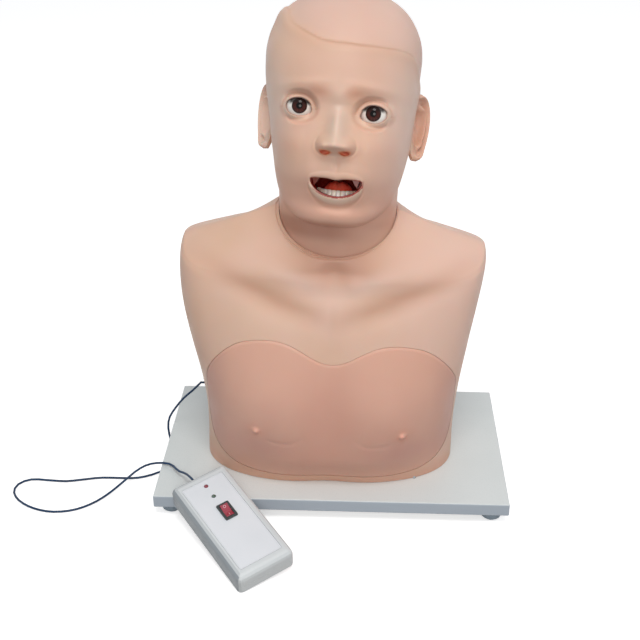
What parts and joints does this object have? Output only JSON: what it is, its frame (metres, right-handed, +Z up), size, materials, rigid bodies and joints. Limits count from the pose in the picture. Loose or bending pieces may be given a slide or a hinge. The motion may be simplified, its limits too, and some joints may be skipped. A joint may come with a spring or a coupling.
{
  "type": "throat examination manikin",
  "caption": "Head-and-shoulders training manikin on a footed board, its open mouth leading to a hollow throat and larynx, with a hand-held signal box on a lead.",
  "frame": {"origin": "on the table, under the middle of the bounding box of everything but the lead", "axes": "+Z up, the face towards -Y, +X to the right of someone facing the manikin"},
  "size_m": [0.5742, 0.3664, 0.5591],
  "materials": {
    "base_board": "satin pale grey lacquer",
    "foot_front_left": "matt grey rubber",
    "foot_screw_front_left": "plated",
    "bust_screw_front_left": "plated",
    "foot_front_right": "matt grey rubber",
    "foot_screw_front_right": "plated",
    "bust_screw_front_right": "plated",
    "foot_rear_left": "matt grey rubber",
    "foot_screw_rear_left": "plated",
    "bust_screw_rear_left": "plated",
    "foot_rear_right": "matt grey rubber",
    "foot_screw_rear_right": "plated",
    "bust_screw_rear_right": "plated",
    "torso_shell": "flesh-coloured soft plastic",
    "chest_cover": "pinker soft plastic, slightly glossy",
    "head_skin": "flesh-coloured soft plastic",
    "eye_left": "polished",
    "eye_right": "polished",
    "throat_lining": "moist-looking dark red",
    "throat_sensor": "soft pad",
    "tongue": "soft red",
    "lower_teeth": "ivory",
    "upper_teeth": "ivory",
    "soft_palate": "moist-looking red",
    "larynx": "pale pink",
    "windpipe": "pale pink",
    "gullet": "pale pink",
    "neck_socket": "black nylon",
    "neck_plug": "natural nylon",
    "pivot_bolt": "plated",
    "pivot_washer": "plated",
    "pivot_nut": "plated",
    "box_upper_shell": "pale grey, fine texture",
    "box_lower_shell": "pale grey, fine texture",
    "battery_door": "pale grey, fine texture",
    "panel_label": "near-white film",
    "circuit_board": "solder mask",
    "buzzer": "black",
    "battery": "printed can, left plain",
    "red_lamp": "dark red lens",
    "green_lamp": "dark green lens",
    "switch_frame": "black",
    "switch_rocker": "red",
    "box_screw_front": "plated",
    "box_screw_rear": "plated",
    "cable_gland": "black rubber",
    "cable_bush": "black rubber",
    "signal_cable": "dark navy sheath"
  },
  "bodies": {
    "base": {"base_board": "base_board", "foot_front_left": "foot_front_left", "foot_screw_front_left": "foot_screw_front_left", "bust_screw_front_left": "bust_screw_front_left", "foot_front_right": "foot_front_right", "foot_screw_front_right": "foot_screw_front_right", "bust_screw_front_right": "bust_screw_front_right", "foot_rear_left": "foot_rear_left", "foot_screw_rear_left": "foot_screw_rear_left", "bust_screw_rear_left": "bust_screw_rear_left", "foot_rear_right": "foot_rear_right", "foot_screw_rear_right": "foot_screw_rear_right", "bust_screw_rear_right": "bust_screw_rear_right", "torso_shell": "torso_shell", "chest_cover": "chest_cover", "neck_socket": "neck_socket", "pivot_bolt": "pivot_bolt", "pivot_washer": "pivot_washer", "pivot_nut": "pivot_nut", "box_upper_shell": "box_upper_shell", "box_lower_shell": "box_lower_shell", "battery_door": "battery_door", "panel_label": "panel_label", "circuit_board": "circuit_board", "buzzer": "buzzer", "battery": "battery", "red_lamp": "red_lamp", "green_lamp": "green_lamp", "switch_frame": "switch_frame", "box_screw_front": "box_screw_front", "box_screw_rear": "box_screw_rear", "cable_gland": "cable_gland", "cable_bush": "cable_bush", "signal_cable": "signal_cable"},
    "head": {"head_skin": "head_skin", "eye_left": "eye_left", "eye_right": "eye_right", "throat_lining": "throat_lining", "throat_sensor": "throat_sensor", "tongue": "tongue", "lower_teeth": "lower_teeth", "upper_teeth": "upper_teeth", "soft_palate": "soft_palate", "larynx": "larynx", "windpipe": "windpipe", "gullet": "gullet", "neck_plug": "neck_plug"},
    "rocker": {"switch_rocker": "switch_rocker"}
  },
  "joints": [
    {"name": "head_turn", "type": "hinge", "parent": "base", "child": "head", "pos_m": [0.00289, 0.06523, 0.33091], "axis": [0.0232, -0.309, 0.9508], "range_deg": [-35.5, 44.5]},
    {"name": "switch_rock", "type": "hinge", "parent": "base", "child": "rocker", "pos_m": [-0.11047, -0.09898, 0.04365], "axis": [0.807, 0.5753, 0.1334], "range_deg": [-16, 0]}
  ]
}
